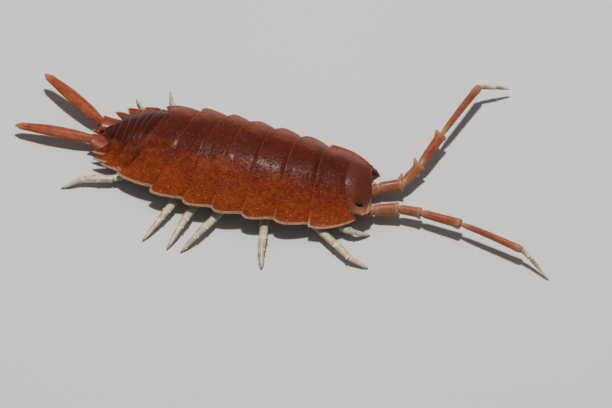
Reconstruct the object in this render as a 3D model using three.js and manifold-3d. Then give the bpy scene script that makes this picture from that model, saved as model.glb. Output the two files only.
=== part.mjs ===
// A woodlouse of the smooth, long-tailed kind, life size, standing with its
// feelers spread and its body bent a little to its own left.
// Millimetres. +X is forward, +Y is the animal's left, +Z is up from the floor.
// Most places are given as (along, side, up): a distance along the bent midline,
// a distance to the left of it, and a height over the floor.
import * as THREE from 'three';
import Module from 'manifold-3d';
import { mergeVertices } from 'three/addons/utils/BufferGeometryUtils.js';

// Body curve
const BEND_RADIUS = 49;
const TAIL_DRIFT = 0.07;
const TAIL_DRIFT_START = -5;
const TAIL_DRIFT_LENGTH = 4.2;
const TAIL_LEAN = 0.215;
const TAIL_LEAN_START = 7.6;
const TAIL_LEAN_FULL = 9.6;
const HEAD_DRIFT = 0.023;
const HEAD_DRIFT_START = 6.5;

// Outline from above: the widest place, and how the width falls off each way
const WIDEST_ALONG = -1.2;
const WIDEST_HALF = 4.45;
const FRONT_TAPER = 18.5;
const REAR_TAPER = 10;
const SHOULDER_ALONG = 6.5;
const SHOULDER_HALF = 3.8;
const SHOULDER_TAPER = 3.35;

// Heights of the shell's crown and rim
const CROWN_TOP = 3.78;
const CROWN_ALONG = 1;
const CROWN_FRONT_DROP = 0.85;
const CROWN_FRONT_RUN = 7;
const CROWN_REAR_DROP = 2.75;
const CROWN_REAR_RUN = 10;
const RIM_UP = 1.36;
const RIM_FALL = 0.0052;
const RIM_FRONT_DROP = 0.25;
const RIM_FRONT_START = 3.5;
const RIM_FRONT_FULL = 7.5;
const ARCH_ROUND = 2.1;
const ARCH_FLARE = 1.15;
const TAIL_FLARE = 1.6;
const RIM_LIFT = 0.06;

// Shell plates
const PLATE_THICK = 0.5;
const RIM_THICK = 0.36;
const STEP_UP = 0.1;
const GAP = 0.05;
const RIM_INSET = 0.14;
const RIM_START = 0.6;
const CORNER_ROUND = 0.42;
const CORNER_START = 0.7;
const SWEEP_POWER = 5;
const TAIL_SWEEP_POWER = 3.5;
const TAIL_RIM_TAPER = 0.08;

// Trunk plates, front to rear: rear edge on the midline, rear corner, and how
// much the flank flares where a plate differs from the others
const TRUNK_PLATES = [
  { mid: 6.15, corner: 6.2, flare: 1.5 },
  { mid: 4.15, corner: 4.0, flare: 1.3 },
  { mid: 2.25, corner: 2.05, flare: 1.2 },
  { mid: 0.4, corner: 0.2 },
  { mid: -1.2, corner: -1.75 },
  { mid: -3.0, corner: -4.1 },
  { mid: -5.0, corner: -6.6 },
];
const NECK_ALONG = 8;
const NECK_REACH = 2.2;
const NECK_LOBE = 1.15;
const NECK_RIM_REACH = 2.38;
const NECK_RIM_SWELL = 1.42;
const NECK_RIM_TURN = 1.7;
const NECK_RIM_POWER = 0.75;

// Tail plates, front to rear: the first two end under the last trunk plate. The
// skew turns a plate's rear edge, as the tail lies a little askew.
const TAIL_PLATES = [
  { mid: -5.75, corner: -5.9, reach: 2.75, skew: 0.1 },
  { mid: -6.15, corner: -6.4, reach: 2.95, skew: 0.16 },
  { mid: -6.6, corner: -7.5, reach: 2.95, skew: 0.24 },
  { mid: -7.15, corner: -8.4, reach: 2.55, skew: 0.3 },
  { mid: -7.7, corner: -8.85, reach: 1.97, skew: 0.3 },
];
const TELSON_HALF = 1.25;
const TELSON_TIP = -8.75;
const TELSON_TIP_HALF = 0.14;

// Head
const HEAD_HALF = 1.95;
const HEAD_FRONT = 9.62;
const HEAD_CORNER_BACK = 0.15;
const HEAD_TURN = 0.27;
const HEAD_TOP = 2.96;
const HEAD_FALL_LENGTH = 1.75;
const HEAD_FLOOR = 0.95;
const HEAD_FLOOR_RISE = 0.3;
const HEAD_EDGE = 0.15;
const HEAD_LOW_SHARE = 0.86;
const HEAD_SHORTEN = 0.45;
const HEAD_LEAST_LONG = 0.1;
const HEAD_FALL_SHARE = 0.9;
const HEAD_FALL_POWER = 2.2;
const HEAD_ROUND = 2.6;
const HEAD_FLARE = 0.6;
const LOBE_SIDE = 1.5;
const LOBE_OUT = { left: 0.62, right: 0.05 };
const LOBE_WIDE = 0.2;

// The head is turned a little, so the left eye lies further back and lower
const EYE_SPOT = { left: [8.95, 1.86, 1.74], right: [9.2, -1.64, 1.88] };
const EYE_HALF = { long: 0.29, deep: 0.14, tall: 0.15 };
const EYE_CLEARANCE = 0.05;
const EYE_TILT = 0.5;
const JAW = [
  { along: 8.35, up: 0.6, wide: 0.75, tall: 0.25 },
  { along: 8.8, up: 0.56, wide: 0.85, tall: 0.3 },
  { along: 9.15, up: 0.6, wide: 0.4, tall: 0.25 },
];

// Soft body under the plates
const BODY_REAR = -8.2;
const BODY_FRONT = 7.85;
const BODY_SIDE = 0.66;
const BODY_ARCH = 1.26;
const BODY_NARROWS = -3.9;
const BODY_REAR_HALF = 0.6;
const BELLY_SIDE = 0.88;
const BELLY_UP = 0.95;
const BELLY_SAG = 0.08;

// Limbs are about 0.5 mm thick or more
const THIN = 0.25;
const LEG_TALL = 0.27;
const LIMB_SIDES = 8;
const JOINT_GAP = 0.06;
const JOINT_NECK = 0.72;
const LEG_BASE_SIDE = 2.3;
const LEG_RUN_UP = 0.6;

const COLOURS = {
  shell: 0x7a2b12,
  flank: 0x8c3a14,
  feeler: 0xa4562c,
  leg: 0xd8cbb0,
  soft: 0xc9b08c,
  eye: 0x0b0a0c,
};

function finish(colour, roughness) {
  return new THREE.MeshStandardMaterial({ color: colour, roughness, metalness: 0 });
}

const SHELL_FINISH = finish(COLOURS.shell, 0.35);
const FLANK_FINISH = finish(COLOURS.flank, 0.35);
const FEELER_FINISH = finish(COLOURS.feeler, 0.4);
const LEG_FINISH = finish(COLOURS.leg, 0.45);
const SOFT_FINISH = finish(COLOURS.soft, 0.6);
const EYE_FINISH = finish(COLOURS.eye, 0.2);

// The midline is an arc, and the tail and head lean a little off it. What lies to
// the side of it turns with the lean.
function place(along, side, up) {
  const tail = Math.min(TAIL_DRIFT_LENGTH, Math.max(0, TAIL_DRIFT_START - along));
  const head = Math.max(0, along - HEAD_DRIFT_START);
  const tailLean = THREE.MathUtils.smoothstep(-along, TAIL_LEAN_START, TAIL_LEAN_FULL);
  const lean = TAIL_LEAN * tailLean - 2 * HEAD_DRIFT * head;
  const angle = (along - lean * side) / BEND_RADIUS;
  const offset = side - TAIL_DRIFT * tail ** 1.5 - HEAD_DRIFT * head ** 2;
  return new THREE.Vector3(
    (BEND_RADIUS - offset) * Math.sin(angle),
    BEND_RADIUS - (BEND_RADIUS - offset) * Math.cos(angle),
    up,
  );
}

function halfWidth(along) {
  if (along > SHOULDER_ALONG) {
    return SHOULDER_HALF * (1 - ((along - SHOULDER_ALONG) / SHOULDER_TAPER) ** 3);
  }
  if (along > WIDEST_ALONG) {
    return WIDEST_HALF * (1 - ((along - WIDEST_ALONG) / FRONT_TAPER) ** 2.2);
  }
  return WIDEST_HALF * (1 - ((WIDEST_ALONG - along) / REAR_TAPER) ** 2.4);
}

function crownUp(along) {
  if (along > CROWN_ALONG) {
    return CROWN_TOP - CROWN_FRONT_DROP * ((along - CROWN_ALONG) / CROWN_FRONT_RUN) ** 2;
  }
  return CROWN_TOP - CROWN_REAR_DROP * ((CROWN_ALONG - along) / CROWN_REAR_RUN) ** 2.6;
}

function rimUp(along) {
  const ahead = THREE.MathUtils.smoothstep(along, RIM_FRONT_START, RIM_FRONT_FULL);
  return RIM_UP - RIM_FALL * Math.min(0, along) ** 2 - RIM_FRONT_DROP * ahead;
}

// Height of the arched back. All plates share one arch over the middle, and each
// comes down to the rim at its own edge, given as its reach to the side.
function backUp(along, side, reach, flare = ARCH_FLARE) {
  const shared = Math.abs(side) / halfWidth(along);
  const own = Math.min(1, Math.abs(side) / reach);
  const out = Math.min(1, THREE.MathUtils.lerp(shared, own, own ** 4));
  const arch = (1 - out ** ARCH_ROUND) ** flare;
  return rimUp(along) + (crownUp(along) - rimUp(along)) * arch + RIM_LIFT * own ** 10;
}

// Builds one closed body, and turns its faces outwards
function closedBody(points, faces) {
  let volume = 0;
  const cross = new THREE.Vector3();
  for (const [a, b, c] of faces) {
    volume += points[a].dot(cross.crossVectors(points[b], points[c]));
  }
  const order = volume > 0 ? faces : faces.map(([a, b, c]) => [a, c, b]);
  const geometry = new THREE.BufferGeometry();
  geometry.setAttribute(
    'position',
    new THREE.Float32BufferAttribute(points.flatMap((p) => [p.x, p.y, p.z]), 3),
  );
  geometry.setIndex(order.flat());
  geometry.computeVertexNormals();
  return geometry;
}

// A plate between an upper and a lower skin over the same grid of places
function plate(upper, lower, rows, columns) {
  const points = [];
  for (const skin of [upper, lower]) {
    for (let i = 0; i <= rows; i += 1) {
      for (let j = 0; j <= columns; j += 1) {
        points.push(skin(i / rows, (2 * j) / columns - 1));
      }
    }
  }
  const wide = columns + 1;
  const under = (rows + 1) * wide;
  const faces = [];
  const quad = (a, b, c, d) => faces.push([a, b, c], [a, c, d]);
  for (let i = 0; i < rows; i += 1) {
    for (let j = 0; j < columns; j += 1) {
      const a = i * wide + j;
      quad(a, a + 1, a + wide + 1, a + wide);
      quad(under + a, under + a + wide, under + a + wide + 1, under + a + 1);
    }
    const left = i * wide;
    const right = left + columns;
    quad(left, left + wide, under + left + wide, under + left);
    quad(right + wide, right, under + right, under + right + wide);
  }
  for (let j = 0; j < columns; j += 1) {
    const last = rows * wide + j;
    quad(j + 1, j, under + j, under + j + 1);
    quad(last, last + 1, under + last + 1, under + last);
  }
  return closedBody(points, faces);
}

// A body lofted through closed rings of equal length, with flat ends
function loft(rings) {
  const count = rings[0].length;
  const points = rings.flat();
  const faces = [];
  for (let i = 0; i + 1 < rings.length; i += 1) {
    for (let j = 0; j < count; j += 1) {
      const next = (j + 1) % count;
      const a = i * count + j;
      const b = i * count + next;
      faces.push([a, b, b + count], [a, b + count, a + count]);
    }
  }
  for (const [ring, first] of [[rings[0], 0], [rings.at(-1), points.length - count]]) {
    const centre = new THREE.Vector3();
    ring.forEach((p) => centre.addScaledVector(p, 1 / count));
    const middle = points.push(centre) - 1;
    for (let j = 0; j < count; j += 1) {
      const pair = [first + j, first + ((j + 1) % count)];
      faces.push(first === 0 ? [middle, pair[1], pair[0]] : [middle, ...pair]);
    }
  }
  return closedBody(points, faces);
}

// A limb piece through points, each with its own half width and half height.
// Whatever would reach under the floor is flattened onto it, which makes the foot.
function limb(stops) {
  const rings = stops.map(({ at, wide, tall }, i) => {
    const before = stops[Math.max(0, i - 1)].at;
    const after = stops[Math.min(stops.length - 1, i + 1)].at;
    const forward = after.clone().sub(before).normalize();
    const across = new THREE.Vector3(0, 0, 1).cross(forward).normalize();
    const upward = forward.clone().cross(across);
    const ring = [];
    for (let j = 0; j < LIMB_SIDES; j += 1) {
      const turn = ((j + 0.5) / LIMB_SIDES) * Math.PI * 2;
      const p = at.clone().addScaledVector(across, wide * Math.cos(turn));
      p.addScaledVector(upward, tall * Math.sin(turn));
      p.z = Math.max(0, p.z);
      ring.push(p);
    }
    return ring;
  });
  return loft(rings);
}

const woodlouse = new THREE.Group();

function add(name, geometry, material) {
  const mesh = new THREE.Mesh(geometry, material);
  mesh.name = name;
  woodlouse.add(mesh);
}

// A plate over the back between two edges given as functions of the side distance
function backPlate(front, rear, reach, rows, columns, flare) {
  const spot = (u, v, lowered) => {
    const side = v * reach(u);
    const along = THREE.MathUtils.lerp(front(side), rear(side), u);
    const thick = THREE.MathUtils.lerp(PLATE_THICK, RIM_THICK, v ** 4);
    const up = backUp(along, side, reach(u), flare);
    return place(along, side, up + (lowered ? -thick : STEP_UP * u));
  };
  return plate((u, v) => spot(u, v, false), (u, v) => spot(u, v, true), rows, columns);
}

function rearEdge({ mid, corner }, reach, power) {
  return (side) => mid + (corner - mid) * Math.min(1, Math.abs(side) / reach) ** power;
}

// Front edge of the first plate, which holds the head between two lobes
function neckEdge(side) {
  return NECK_ALONG + NECK_LOBE * Math.min(1, Math.abs(side) / NECK_REACH) ** 4;
}

function buildTrunk() {
  let front = neckEdge;
  let reach = (u) => {
    return NECK_RIM_REACH + NECK_RIM_SWELL * Math.sin(NECK_RIM_TURN * u) ** NECK_RIM_POWER;
  };
  TRUNK_PLATES.forEach((sizes, i) => {
    const rear = rearEdge(sizes, halfWidth(sizes.corner), SWEEP_POWER);
    add(`pereonite_${i + 1}`, backPlate(front, rear, reach, 4, 20, sizes.flare), SHELL_FINISH);
    front = (side) => rear(side) - GAP;
    const start = THREE.MathUtils.lerp(sizes.mid, sizes.corner, RIM_START);
    const end = TRUNK_PLATES[Math.min(i + 1, TRUNK_PLATES.length - 1)].corner;
    reach = (u) => {
      const outline = halfWidth(THREE.MathUtils.lerp(start, end, u));
      const corner = Math.max(0, (u - CORNER_START) / (1 - CORNER_START));
      const rounding = CORNER_ROUND * (1 - Math.sqrt(1 - corner ** 2));
      return outline * (1 - RIM_INSET * (1 - u) ** 2) - rounding;
    };
  });
  return front;
}

function buildTail(trunkRear) {
  let front = trunkRear;
  TAIL_PLATES.forEach((sizes, i) => {
    const straight = rearEdge(sizes, sizes.reach, TAIL_SWEEP_POWER);
    const rear = (side) => {
      const own = Math.min(1, Math.abs(side) / sizes.reach);
      return straight(side) - sizes.skew * side * (1 - own ** 4);
    };
    const reach = (u) => sizes.reach * (1 + TAIL_RIM_TAPER * (1 - u ** 3));
    add(`pleonite_${i + 1}`, backPlate(front, rear, reach, 2, 16, TAIL_FLARE), FLANK_FINISH);
    front = (side) => Math.min(rear(side), trunkRear(side)) - GAP;
  });
  const reach = (u) => TELSON_TIP_HALF + (TELSON_HALF - TELSON_TIP_HALF) * (1 - u);
  add('telson', backPlate(front, () => TELSON_TIP, reach, 5, 6, TAIL_FLARE), FLANK_FINISH);
}

// The soft body fills the arch, from behind the head to the root of the tail
function buildSoftBody() {
  const rings = [];
  const steps = 22;
  const across = 10;
  for (let i = 0; i <= steps; i += 1) {
    const along = THREE.MathUtils.lerp(BODY_REAR, BODY_FRONT, i / steps);
    const taper = THREE.MathUtils.clamp((BODY_NARROWS - along) / (BODY_NARROWS - BODY_REAR), 0, 1);
    const half = THREE.MathUtils.lerp(BODY_SIDE * halfWidth(along), BODY_REAR_HALF, taper);
    const ring = [];
    for (let j = 0; j <= across; j += 1) {
      const side = half * ((2 * j) / across - 1);
      const flare = THREE.MathUtils.lerp(ARCH_FLARE, TAIL_FLARE, taper);
      const arch = backUp(along, side, BODY_ARCH * half, flare);
      ring.push(place(along, side, arch - PLATE_THICK - 2 * GAP));
    }
    const belly = BELLY_SIDE * half;
    for (const side of [belly, belly / 3, -belly / 3, -belly]) {
      const sag = Math.abs(side) < belly ? BELLY_SAG : 0;
      ring.push(place(along, side, Math.min(BELLY_UP, rimUp(along) - RIM_THICK) - sag));
    }
    rings.push(ring);
  }
  add('underside', loft(rings), SOFT_FINISH);
}

// Five pairs of small plates under the tail, joined in one piece
const GILLS = { front: -5.3, rear: -7.8, frontHalf: 1.5, rearHalf: 0.7, top: 0.52 };
const GILL_LOW = 0.28;
const GILL_FURROW = 0.4;
const GILL_EDGE = { share: 0.92, up: 0.1 };
const GILL_CREST = 0.35;
const GILL_PAIRS = 5;

function buildPleopods() {
  const rings = [];
  const steps = 2 * GILL_PAIRS;
  for (let i = 0; i <= steps; i += 1) {
    const along = THREE.MathUtils.lerp(GILLS.front, GILLS.rear, i / steps);
    const half = THREE.MathUtils.lerp(GILLS.frontHalf, GILLS.rearHalf, i / steps);
    const low = i % 2 ? GILL_LOW : GILL_FURROW;
    const raised = low + GILL_EDGE.up;
    const ring = [[-1, GILLS.top], [1, GILLS.top], [GILL_EDGE.share, raised], [GILL_CREST, low]];
    ring.push([0, raised], [-GILL_CREST, low], [-GILL_EDGE.share, raised]);
    rings.push(ring.map(([side, up]) => place(along, side * half, up)));
  }
  add('pleopods', loft(rings), SOFT_FINISH);
}

const wasm = await Module();
wasm.setup();

function toSolid(geometry) {
  const bare = geometry.clone();
  bare.deleteAttribute('normal');
  bare.deleteAttribute('uv');
  const merged = mergeVertices(bare, 1e-4);
  return new wasm.Manifold(new wasm.Mesh({
    numProp: 3,
    vertProperties: Float32Array.from(merged.attributes.position.array),
    triVerts: Uint32Array.from(merged.index.array),
  }));
}

function toGeometry(solid) {
  const mesh = solid.getMesh();
  const geometry = new THREE.BufferGeometry();
  geometry.setAttribute('position', new THREE.BufferAttribute(mesh.vertProperties, 3));
  geometry.setIndex(new THREE.BufferAttribute(mesh.triVerts, 1));
  geometry.computeVertexNormals();
  return geometry;
}

function eyeBody(hand, extra) {
  const spot = EYE_SPOT[hand];
  const geometry = new THREE.SphereGeometry(1, 12, 8);
  geometry.scale(EYE_HALF.long + extra, EYE_HALF.deep + extra, EYE_HALF.tall + extra);
  geometry.rotateX(-Math.sign(spot[1]) * EYE_TILT);
  geometry.rotateZ(spot[0] / BEND_RADIUS);
  const centre = place(...spot);
  return geometry.translate(centre.x, centre.y, centre.z);
}

// The head fills the notch in the first plate, with a lobe beside each feeler
function buildHead() {
  const spot = (u, v, lowered) => {
    const side = v * HEAD_HALF * (lowered ? HEAD_LOW_SHARE : 1);
    const reach = Math.abs(side);
    const lobeOut = side > 0 ? LOBE_OUT.left : LOBE_OUT.right;
    const lobe = lobeOut * Math.exp(-(((reach - LOBE_SIDE) / LOBE_WIDE) ** 2));
    const rear = neckEdge(side) + GAP;
    const corner = HEAD_CORNER_BACK * (reach / HEAD_HALF) ** 4 + HEAD_TURN * side;
    const front = HEAD_FRONT - corner + (lowered ? -HEAD_SHORTEN : lobe);
    const along = THREE.MathUtils.lerp(rear, Math.max(front, rear + HEAD_LEAST_LONG), u);
    const out = reach / (HEAD_HALF + HEAD_EDGE);
    const low = HEAD_FLOOR + HEAD_FLOOR_RISE * out ** 3;
    if (lowered) {
      return place(along, side, low);
    }
    const fall = Math.min(1, (along - NECK_ALONG) / HEAD_FALL_LENGTH);
    const drop = Math.sqrt(1 - HEAD_FALL_SHARE * fall ** HEAD_FALL_POWER);
    const top = HEAD_FLOOR + (HEAD_TOP - HEAD_FLOOR) * drop;
    return place(along, side, low + (top - low) * (1 - out ** HEAD_ROUND) ** HEAD_FLARE);
  };
  const skull = plate((u, v) => spot(u, v, false), (u, v) => spot(u, v, true), 6, 20);
  let solid = toSolid(skull);
  for (const hand of Object.keys(EYE_SPOT)) {
    solid = solid.subtract(toSolid(eyeBody(hand, EYE_CLEARANCE)));
    add(`eye_${hand}`, eyeBody(hand, 0), EYE_FINISH);
  }
  add('head', toGeometry(solid), SHELL_FINISH);
  const jaw = JAW.map(({ along, up, wide, tall }) => ({ at: place(along, 0, up), wide, tall }));
  add('mouthparts', limb(jaw), SOFT_FINISH);
}

// Shortens a stretch at both ends, so that neighbouring pieces stay apart
function between(from, to, share) {
  const trim = JOINT_GAP / from.distanceTo(to);
  return from.clone().lerp(to, THREE.MathUtils.lerp(trim, 1 - trim, share));
}

const FEELER_PIECES = [
  { name: 'article_1', base: 0.34, tip: 0.37 },
  { name: 'article_2', base: 0.31, tip: 0.4 },
  { name: 'article_3', base: 0.29, tip: 0.33 },
  { name: 'article_4', base: 0.27, tip: 0.32 },
  { name: 'article_5', base: THIN, tip: 0.27 },
  { name: 'flagellum_1', base: THIN, tip: THIN },
  { name: 'flagellum_2', base: THIN, tip: THIN },
];

// Joints of each feeler as X, Y, Z. The right one rests its tip on the floor.
const FEELER_JOINTS = {
  right: [
    [9.5, -0.45, 0.72], [10.0, -0.24, 0.84], [11.62, 0.32, 1.0], [13.08, 0.43, 1.05],
    [15.81, 0.3, 1.15], [20.14, -0.48, 1.1], [20.76, -0.7, 0.85], [22.25, -1.41, 0.16],
  ],
  left: [
    [9.28, 1.42, 0.62], [9.75, 1.78, 0.82], [11.11, 2.48, 0.95], [11.72, 4.38, 1.1],
    [12.23, 7.34, 1.35], [13.22, 12.39, 1.45], [14.21, 13.1, 1.1], [14.97, 13.65, 0.7],
  ],
};

function buildFeelers() {
  for (const [hand, joints] of Object.entries(FEELER_JOINTS)) {
    const places = joints.map((p) => new THREE.Vector3(...p));
    FEELER_PIECES.forEach(({ name, base, tip }, i) => {
      const swell = (share) => base + (tip - base) * share;
      const stops = [0, 0.1, 0.5, 0.9, 1].map((share) => {
        const size = swell(share) * (share === 0 || share === 1 ? JOINT_NECK : 1);
        return { at: between(places[i], places[i + 1], share), wide: size, tall: size };
      });
      add(`antenna_${hand}_${name}`, limb(stops), FEELER_FINISH);
    });
  }
}

// Each leg: its root on the midline, then the places of its knee and foot.
const LEGS = {
  right: [
    { root: 7.3, path: [[8.6, -2.9, 0.6], [9.4, -2.95, 0.55], [10.3, -2.4, 0.17]] },
    { root: 5.2, path: [[7.4, -3.7, 0.6], [9.7, -5.1, 0.5], [11.2, -5.15, 0.17]] },
    { root: 3.1, path: [[3.6, -4.1, 0.6], [3.9, -5.9, 0.5], [4.2, -7.1, 0.17]] },
    { root: 1.2, path: [[0.5, -4.4, 0.6], [0.0, -6.1, 0.55], [-0.5, -7.3, 0.17]] },
    { root: -0.6, path: [[-1.0, -4.4, 0.6], [-1.1, -5.7, 0.55], [-1.3, -7.4, 0.17]] },
    { root: -2.5, path: [[-2.2, -4.1, 0.6], [-2.4, -5.5, 0.55], [-2.8, -7.3, 0.17]] },
    { root: -4.6, path: [[-6.4, -3.5, 0.6], [-8.2, -4.1, 0.5], [-10.0, -5.0, 0.17]] },
  ],
  left: [
    { root: 7.3, path: [[7.6, 3.0, 0.6], [7.8, 3.5, 0.55], [8.0, 4.0, 0.17]] },
    { root: 5.2, path: [[5.6, 3.3, 0.6], [5.8, 4.0, 0.55], [6.1, 4.7, 0.17]] },
    { root: 3.1, path: [[3.3, 3.4, 0.6], [3.4, 4.2, 0.55], [3.5, 5.0, 0.17]] },
    { root: 1.2, path: [[0.9, 3.5, 0.6], [0.7, 4.3, 0.55], [0.5, 5.1, 0.17]] },
    { root: -0.6, path: [[-1.1, 3.5, 0.6], [-1.4, 4.3, 0.55], [-1.7, 5.1, 0.17]] },
    { root: -2.5, path: [[-4.4, 3.5, 0.6], [-6.2, 4.3, 0.55], [-7.3, 5.9, 0.17]] },
    { root: -4.6, path: [[-6.7, 2.9, 0.6], [-7.9, 3.4, 0.5], [-8.6, 4.4, 0.17]] },
  ],
};
const LEG_HALF = [0.3, 0.3, 0.26, THIN];

function buildLegs() {
  for (const [hand, legs] of Object.entries(LEGS)) {
    const turn = hand === 'left' ? 1 : -1;
    legs.forEach(({ root, path }, i) => {
      const spots = [[root, turn * LEG_BASE_SIDE, LEG_RUN_UP], ...path];
      const stops = spots.map((spot, k) => {
        const half = LEG_HALF[k];
        return { at: place(...spot), wide: half, tall: Math.min(half, LEG_TALL) };
      });
      add(`leg_${hand}_${i + 1}`, limb(stops), LEG_FINISH);
    });
  }
}

// Tail feelers: a stout root piece, a long flat outer branch, a short inner one
const UROPODS = {
  left: { knee: [-9.27, 0.85, 0.8], tip: [-14.6, 1.97, 1.4] },
  right: { knee: [-9.23, -0.72, 0.78], tip: [-14.45, -2.56, 0.88] },
};
const BRANCH_HALF = [0.3, 0.37, 0.4, 0.38, 0.34, 0.27];
const TAIL_ROOT = { along: -8.2, side: 1.02, up: 0.6 };
const STUMP_HALF = [0.5, 0.55, 0.55];
const INNER_BRANCH = [[-8.35, 0.3], [-9.0, 0.32], [-9.75, 0.3]];
const INNER_UP = 0.35;

function buildUropods() {
  for (const [hand, { knee, tip }] of Object.entries(UROPODS)) {
    const turn = hand === 'left' ? 1 : -1;
    const elbow = place(...knee);
    const root = place(TAIL_ROOT.along, turn * TAIL_ROOT.side, TAIL_ROOT.up);
    const stump = STUMP_HALF.map((wide, k) => {
      return { at: between(root, elbow, k / (STUMP_HALF.length - 1)), wide, tall: THIN };
    });
    add(`uropod_${hand}_protopod`, limb(stump), FLANK_FINISH);
    const branch = BRANCH_HALF.map((half, k) => {
      const share = k / (BRANCH_HALF.length - 1);
      return { at: between(elbow, place(...tip), share), wide: half, tall: THIN };
    });
    add(`uropod_${hand}_exopod`, limb(branch), FEELER_FINISH);
    const inner = INNER_BRANCH.map(([along, side]) => {
      return { at: place(along, turn * side, INNER_UP), wide: THIN, tall: THIN };
    });
    add(`uropod_${hand}_endopod`, limb(inner), FLANK_FINISH);
  }
}

buildTail(buildTrunk());
buildSoftBody();
buildPleopods();
buildHead();
buildFeelers();
buildLegs();
buildUropods();

// The origin is under the middle of the whole model, on the floor
const box = new THREE.Box3().setFromObject(woodlouse);
const centre = box.getCenter(new THREE.Vector3());
woodlouse.position.set(-centre.x, -centre.y, -box.min.z);

export default woodlouse;
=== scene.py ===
# %% [markdown]
# # A woodlouse, built like its own armour
#
# This lesson dresses a plain, measured model of a woodlouse. The frame gives every part's place.
# Here each part is made again with its real surface: thin shell plates that overlap like tiles,
# jointed feelers and legs, beaded eyes and a soft belly. Everything is in metres, +X is forward.

# %% Load the frame
import math
import bmesh
import bpy
import numpy as np
from mathutils import Matrix, Vector, noise


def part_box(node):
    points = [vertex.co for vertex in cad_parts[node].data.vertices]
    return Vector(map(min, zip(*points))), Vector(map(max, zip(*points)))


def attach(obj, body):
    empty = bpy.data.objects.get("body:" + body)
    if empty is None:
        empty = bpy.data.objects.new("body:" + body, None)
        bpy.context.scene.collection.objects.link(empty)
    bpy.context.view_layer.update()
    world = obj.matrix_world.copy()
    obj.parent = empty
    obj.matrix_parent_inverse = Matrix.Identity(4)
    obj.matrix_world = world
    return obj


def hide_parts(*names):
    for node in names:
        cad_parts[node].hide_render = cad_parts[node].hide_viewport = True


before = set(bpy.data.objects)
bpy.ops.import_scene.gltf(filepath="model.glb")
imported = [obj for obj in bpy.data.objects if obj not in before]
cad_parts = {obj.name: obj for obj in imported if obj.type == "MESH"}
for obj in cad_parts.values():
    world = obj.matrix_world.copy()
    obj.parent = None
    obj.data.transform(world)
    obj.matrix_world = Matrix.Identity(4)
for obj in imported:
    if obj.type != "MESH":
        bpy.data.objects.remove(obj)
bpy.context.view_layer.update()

MM = 0.001
print("nodes in the frame:", len(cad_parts))

# %% [markdown]
# ## The midline
#
# The animal lies along a gentle arc, bent to its own left. Places on it are easiest to give as
# a distance along the arc, a distance to the left and a height, all in millimetres. The eyes sit
# at known places on that line, so the frame's own eye boxes say where the line starts.

# %% From the body's own measures to the frame's metres
BEND_RADIUS = 49.0
TAIL_DRIFT = 0.07
TAIL_DRIFT_START = -5
TAIL_DRIFT_LENGTH = 4.2
TAIL_LEAN = 0.215
TAIL_LEAN_START = -7.6
TAIL_LEAN_FULL = -9.6
HEAD_DRIFT = 0.023
HEAD_DRIFT_START = 6.5
EYE_SPOT = {"left": (8.95, 1.86, 1.74), "right": (9.2, -1.64, 1.88)}


def smooth(low, high, value):
    """0 at low, 1 at high, smooth between. It runs the other way if low is the larger."""
    t = np.clip((value - low) / (high - low), 0, 1)
    return t * t * (3 - 2 * t)


def arc(along, side, up):
    """Points, in millimetres, from where the midline starts. Tail and head lean a little off it."""
    along, side, up = np.broadcast_arrays(*(np.asarray(v, float) for v in (along, side, up)))
    tail = np.clip(TAIL_DRIFT_START - along, 0, TAIL_DRIFT_LENGTH)
    head = np.clip(along - HEAD_DRIFT_START, 0, None)
    lean = TAIL_LEAN * smooth(TAIL_LEAN_START, TAIL_LEAN_FULL, along) - 2 * HEAD_DRIFT * head
    radius = BEND_RADIUS - side + TAIL_DRIFT * tail ** 1.5 + HEAD_DRIFT * head ** 2
    angle = (along - lean * side) / BEND_RADIUS
    return np.stack([radius * np.sin(angle), BEND_RADIUS - radius * np.cos(angle), up], -1)


eye_middle = sum((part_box(n)[0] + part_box(n)[1] for n in ("eye_left", "eye_right")), Vector()) / 4
START = np.array(eye_middle) / MM - arc(*zip(*EYE_SPOT.values())).mean(0)
START[2] = 0


def place(along, side, up):
    """A point of the frame, in metres, for a place on the midline."""
    return (arc(along, side, up) + START) * MM


def spot(x, y, up):
    """A point given straight from the start of the midline, as the feelers' joints are."""
    return (np.array([x, y, up]) + START) * MM


print("the midline starts at", np.round(START, 2), "mm")

# %% [markdown]
# ## The arch of the back
#
# One rule gives the whole back: how wide it is, how high its crown stands and how the flanks fall
# to the rim. Real plates follow one smooth arch too, because the animal has to slide them over
# each other, so every plate below is a patch of this one surface.

# %% Width, crown and rim
WIDEST_ALONG, WIDEST_HALF = -1.2, 4.45
FRONT_TAPER, REAR_TAPER = 18.5, 10
SHOULDER_ALONG, SHOULDER_HALF, SHOULDER_TAPER = 6.5, 3.8, 3.35
CROWN_ALONG, CROWN_TOP = 1, 3.78
CROWN_FRONT_DROP, CROWN_FRONT_RUN = 0.85, 7
CROWN_REAR_DROP, CROWN_REAR_RUN = 2.75, 10
RIM_UP, RIM_FALL, RIM_LIFT = 1.36, 0.0052, 0.06
RIM_FRONT_DROP, RIM_FRONT_START, RIM_FRONT_FULL = 0.25, 3.5, 7.5
ARCH_ROUND, ARCH_FLARE, TAIL_FLARE = 2.1, 1.15, 1.6


def growing(distance, run, power):
    """0 as far as the start, then a power of the distance past it."""
    return (np.clip(distance, 0, None) / run) ** power


def half_width(along):
    along = np.asarray(along, float)
    front = growing(along - WIDEST_ALONG, FRONT_TAPER, 2.2)
    rear = growing(WIDEST_ALONG - along, REAR_TAPER, 2.4)
    past = np.clip(along - SHOULDER_ALONG, 0, SHOULDER_TAPER - 0.05)
    shoulder = SHOULDER_HALF * (1 - (past / SHOULDER_TAPER) ** 3)
    return np.where(along > SHOULDER_ALONG, shoulder, WIDEST_HALF * (1 - front - rear))


def crown_up(along):
    front = CROWN_FRONT_DROP * growing(along - CROWN_ALONG, CROWN_FRONT_RUN, 2)
    rear = CROWN_REAR_DROP * growing(CROWN_ALONG - along, CROWN_REAR_RUN, 2.6)
    return CROWN_TOP - front - rear


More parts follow.
